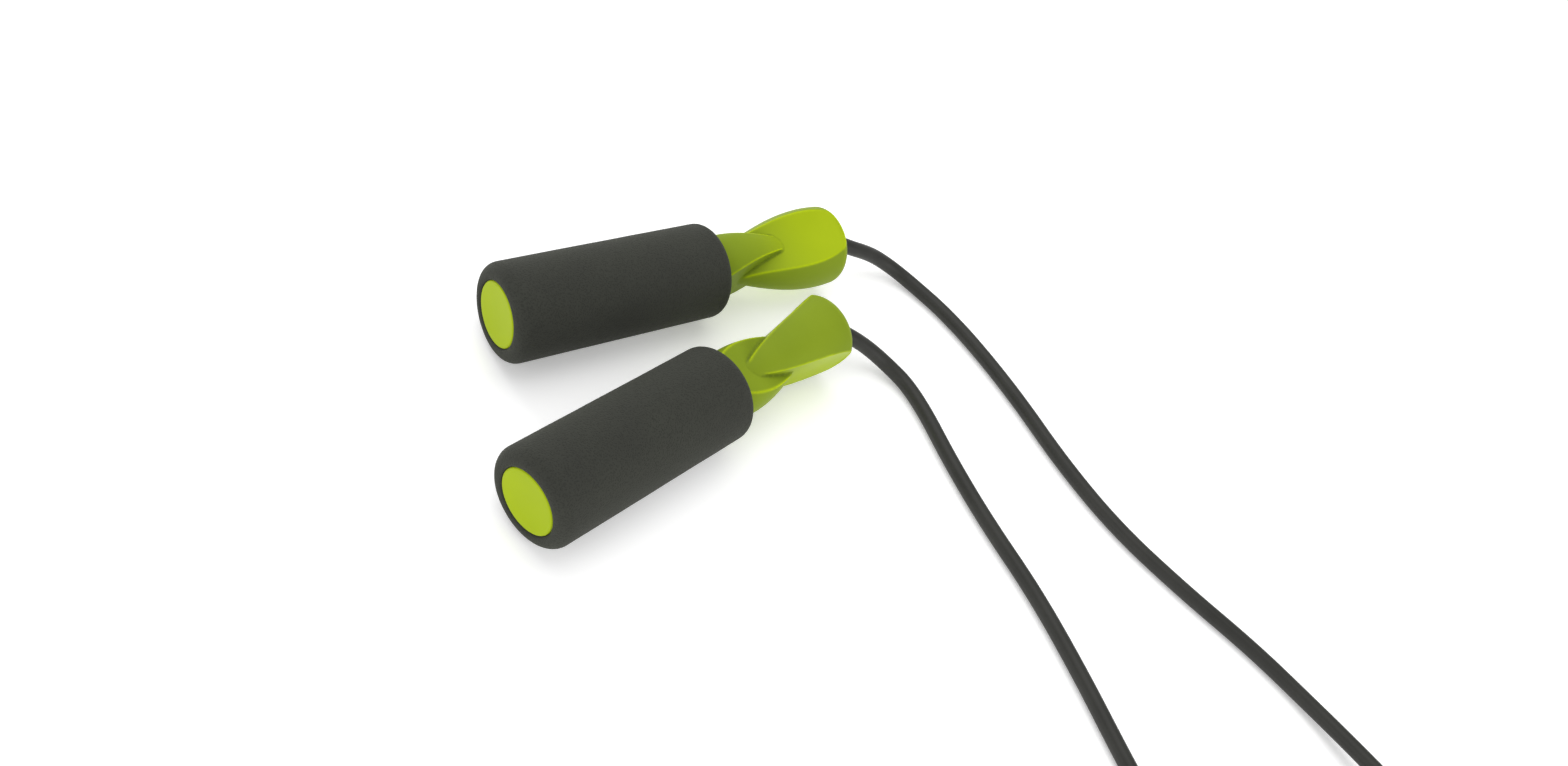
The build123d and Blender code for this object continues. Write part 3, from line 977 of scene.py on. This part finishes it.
# %% Grips
SEED_STEP = 3.7

for number, side in enumerate(SIDES):
    grip = grow(
        f"{side}_grip", SLEEVE_TREE, LAY[side], Length=GRIP_LENGTH, Outer_Radius=GRIP_RADIUS,
        Bore_Radius=CORE_RADIUS, Butt_Round=BUTT_ROUND, Head_Round=HEAD_ROUND,
        Seed=SEED_STEP * number, Material=GRIP_FOAM,
    )
    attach(grip, f"{side}_handle")
    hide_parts(f"{side}_foam_grip")
    print(grip.name, len(grip.data.polygons), "faces")

# %% [markdown]
# ## Bearing balls
#
# Nine steel balls run between the races, each in a pocket of the nylon
# retainer. A ball is a small icosphere, put on the points of a circle. The
# first ball sits where the handle's own roll has turned it, so the whole ring
# is rolled with the handle and every ball lands in its pocket.

# %% Ball ring tree
BALL_COUNT = 9
BALL_RADIUS = 1.19 * MM
BALL_CIRCLE = 6.0 * MM


def make_ball_tree():
    """Balls on a circle about local X at the bearing's middle."""
    tree, wire, given = start_tree("ball ring", [
        ("Count", "Int", BALL_COUNT), ("Ball Radius", "Float", BALL_RADIUS),
        ("Circle Radius", "Float", BALL_CIRCLE), ("Station", "Float", BEARING_MIDDLE),
        ("Roll", "Float", 0.0), ("Material", "Material", None),
    ])
    circle = wire.add(
        "GeometryNodeMeshCircle", Vertices=given["Count"], Radius=given["Circle Radius"],
    ).outputs[0]
    ball = wire.add("GeometryNodeMeshIcoSphere", Radius=given["Ball Radius"], Subdivisions=4).outputs[0]
    balls = wire.add("GeometryNodeInstanceOnPoints", Points=circle, Instance=ball).outputs[0]
    # The circle's first point is on +X. Two turns bring it to local Y, and the axis to local X.
    upright = wire.add("GeometryNodeTransform", Geometry=balls, Rotation=(0, 0, math.pi / 2)).outputs[0]
    along = wire.add("GeometryNodeTransform", Geometry=upright, Rotation=(0, math.pi / 2, 0)).outputs[0]
    roll = wire.add("ShaderNodeCombineXYZ", X=given["Roll"]).outputs[0]
    shift = wire.add("ShaderNodeCombineXYZ", X=given["Station"]).outputs[0]
    laid = wire.add("GeometryNodeTransform", Geometry=along, Rotation=roll, Translation=shift).outputs[0]
    end_tree(wire, laid, given["Material"])
    return tree


BALL_TREE = make_ball_tree()
for side in SIDES:
    balls = grow(
        f"{side}_balls", BALL_TREE, LAY[side], Count=BALL_COUNT, Ball_Radius=BALL_RADIUS,
        Circle_Radius=BALL_CIRCLE, Station=BEARING_MIDDLE, Roll=HANDLE_ROLL[side],
        Material=METALS["ball_steel"],
    )
    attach(balls, f"{side}_cage")
    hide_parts(f"{side}_bearing_balls")
    print(balls.name, len(balls.data.polygons), "faces")

# %% [markdown]
# ## Butt caps
#
# A lime disc closes the tube at the butt end and sits a hair inside the
# foam. It is very slightly dished, with a rounded rim. It is marked polished
# all over, so it takes the brighter lime colour, which is painted light.

# %% Butt caps
CAP_FACE = 0.25 * MM
CAP_RADIUS = 12.6 * MM
CAP_BACK = 2.75 * MM
CAP_DISH = 0.35 * MM
CAP_RIM = 0.7 * MM
CAP_RIM_LAND = 0.8 * MM
DISH_STEPS = 8
RING_DEPTH = 0.999


def arc(centre, radius, start, end, steps):
    """Points on an arc in (station, radius), angles in degrees from +station."""
    for step in range(steps + 1):
        angle = math.radians(start + (end - start) * step / steps)
        yield (centre[0] + radius * math.cos(angle), centre[1] + radius * math.sin(angle))


def cap_outline():
    """Dished face, rounded rim and flat back."""
    flat = CAP_RADIUS - CAP_RIM - CAP_RIM_LAND
    outline = [(CAP_FACE + CAP_DISH, 0)]
    for step in range(1, DISH_STEPS + 1):
        radius = flat * step / DISH_STEPS
        # The rings are a thousandth shallower than the middle point.
        depth = CAP_DISH * (1 - (radius / flat) ** 2) * RING_DEPTH
        outline.append((CAP_FACE + depth, radius))
    outline += list(arc((CAP_FACE + CAP_RIM, CAP_RADIUS - CAP_RIM), CAP_RIM, 180, 90, steps=7))
    outline += [(CAP_BACK, CAP_RADIUS), (CAP_BACK, 0)]
    return outline


for side in SIDES:
    cap = lathe(f"{side}_cap", cap_outline(), LAY[side], steps=128)
    cap.data.materials.append(LIME_PLASTIC)
    # The whole disc is marked polished, which paints it brighter as painted light; no edges or folds are
    # marked.
    store(cap.data, "polish_and_painted_light", [1.0] * len(cap.data.vertices))
    store(cap.data, "edge", [0.0] * len(cap.data.vertices))
    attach(cap, f"{side}_handle")
    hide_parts(f"{side}_butt_cap")
print("caps:", len(cap_outline()), "points in the outline")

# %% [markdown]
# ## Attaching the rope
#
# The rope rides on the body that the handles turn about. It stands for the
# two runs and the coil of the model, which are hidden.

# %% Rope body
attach(rope, "rope")
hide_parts("left_rope", "right_rope", "rope_coil")
